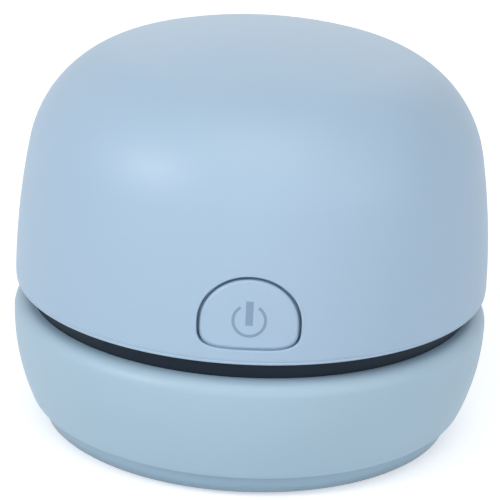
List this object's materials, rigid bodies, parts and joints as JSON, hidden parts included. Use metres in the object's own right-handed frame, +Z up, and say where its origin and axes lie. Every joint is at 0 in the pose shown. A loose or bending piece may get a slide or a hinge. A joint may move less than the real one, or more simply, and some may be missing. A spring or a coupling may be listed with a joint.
{
  "type": "desktop mini vacuum cleaner",
  "caption": "Dome-shaped desktop mini vacuum: a motor head with a front power button lifts off a round dust cup with a brush-edged suction slot underneath.",
  "frame": {"origin": "on the desk plane, at the centre of the base", "axes": "+Z up; the power button faces -Y, the charging socket faces +Y and +X is to the button's right as the picture sees it"},
  "size_m": [0.086, 0.086, 0.0731],
  "materials": {
    "shell_blue": "satin moulded ABS",
    "cup_blue": "satin moulded ABS",
    "cover_blue": "satin moulded ABS",
    "icon_grey": "satin inlay",
    "black_abs": "matt moulded ABS",
    "white_plastic": "moulded",
    "impeller_plastic": "moulded",
    "screw_steel": "zinc plated",
    "socket_steel": "nickel plated",
    "motor_steel": "plated",
    "filter_steel": "woven",
    "nickel": "plated strip",
    "lamination": "stamped",
    "ferrite": "sintered",
    "bronze": "sintered",
    "copper": "enamelled",
    "seal_rubber": "satin",
    "pad_rubber": "matt",
    "filter_foam": "open cell",
    "bristle_nylon": "fine bristle",
    "pcb_green": "solder mask",
    "chip_black": "epoxy",
    "cell_wrap": "shrink wrapped",
    "wire_pvc": "extruded"
  },
  "bodies": {
    "base": {"dust_cup": "cup_blue", "inlet_duct": "black_abs", "bottom_cover": "cover_blue", "cover_screws": "screw_steel", "brush_front": "bristle_nylon", "brush_rear": "bristle_nylon", "glide_pads": "pad_rubber"},
    "head": {"upper_shell": "shell_blue", "inner_frame": "black_abs", "fan_cover": "black_abs", "switch_body": "black_abs", "usb_tongue": "black_abs", "shell_screws": "screw_steel", "fan_cover_screws": "screw_steel", "pcb_screws": "screw_steel", "charge_screws": "screw_steel", "motor_screws": "screw_steel", "seal_ring": "seal_rubber", "filter_frame": "white_plastic", "filter_mesh": "filter_steel", "filter_foam": "filter_foam", "main_pcb": "pcb_green", "charge_pcb": "pcb_green", "pcb_components": "chip_black", "pcb_connectors": "white_plastic", "usb_socket": "socket_steel", "battery_cell": "cell_wrap", "battery_terminals": "nickel", "motor_can": "motor_steel", "motor_endcap": "white_plastic", "motor_magnets": "ferrite", "motor_bush_front": "bronze", "motor_bush_rear": "bronze", "motor_brushes": "copper", "motor_terminals": "bronze", "battery_leads": "wire_pvc", "motor_leads": "wire_pvc", "charge_leads": "wire_pvc"},
    "button": {"button_cap": "shell_blue", "power_icon": "icon_grey", "switch_plunger": "white_plastic"},
    "rotor": {"motor_shaft": "motor_steel", "motor_armature": "lamination", "motor_windings": "copper", "motor_commutator": "copper", "impeller": "impeller_plastic"}
  },
  "joints": [
    {"name": "head_lift", "type": "slide", "parent": "base", "child": "head", "axis": [0, 0, 1], "range_m": [0, 0.04]},
    {"name": "button_press", "type": "slide", "parent": "head", "child": "button", "axis": [0, 1, 0], "range_m": [0, 0.0008], "stiffness_N_per_m": 2000},
    {"name": "rotor_spin", "type": "hinge", "parent": "head", "child": "rotor", "pos_m": [0, 0, 0.04], "axis": [0, 0, 1], "continuous": true}
  ]
}
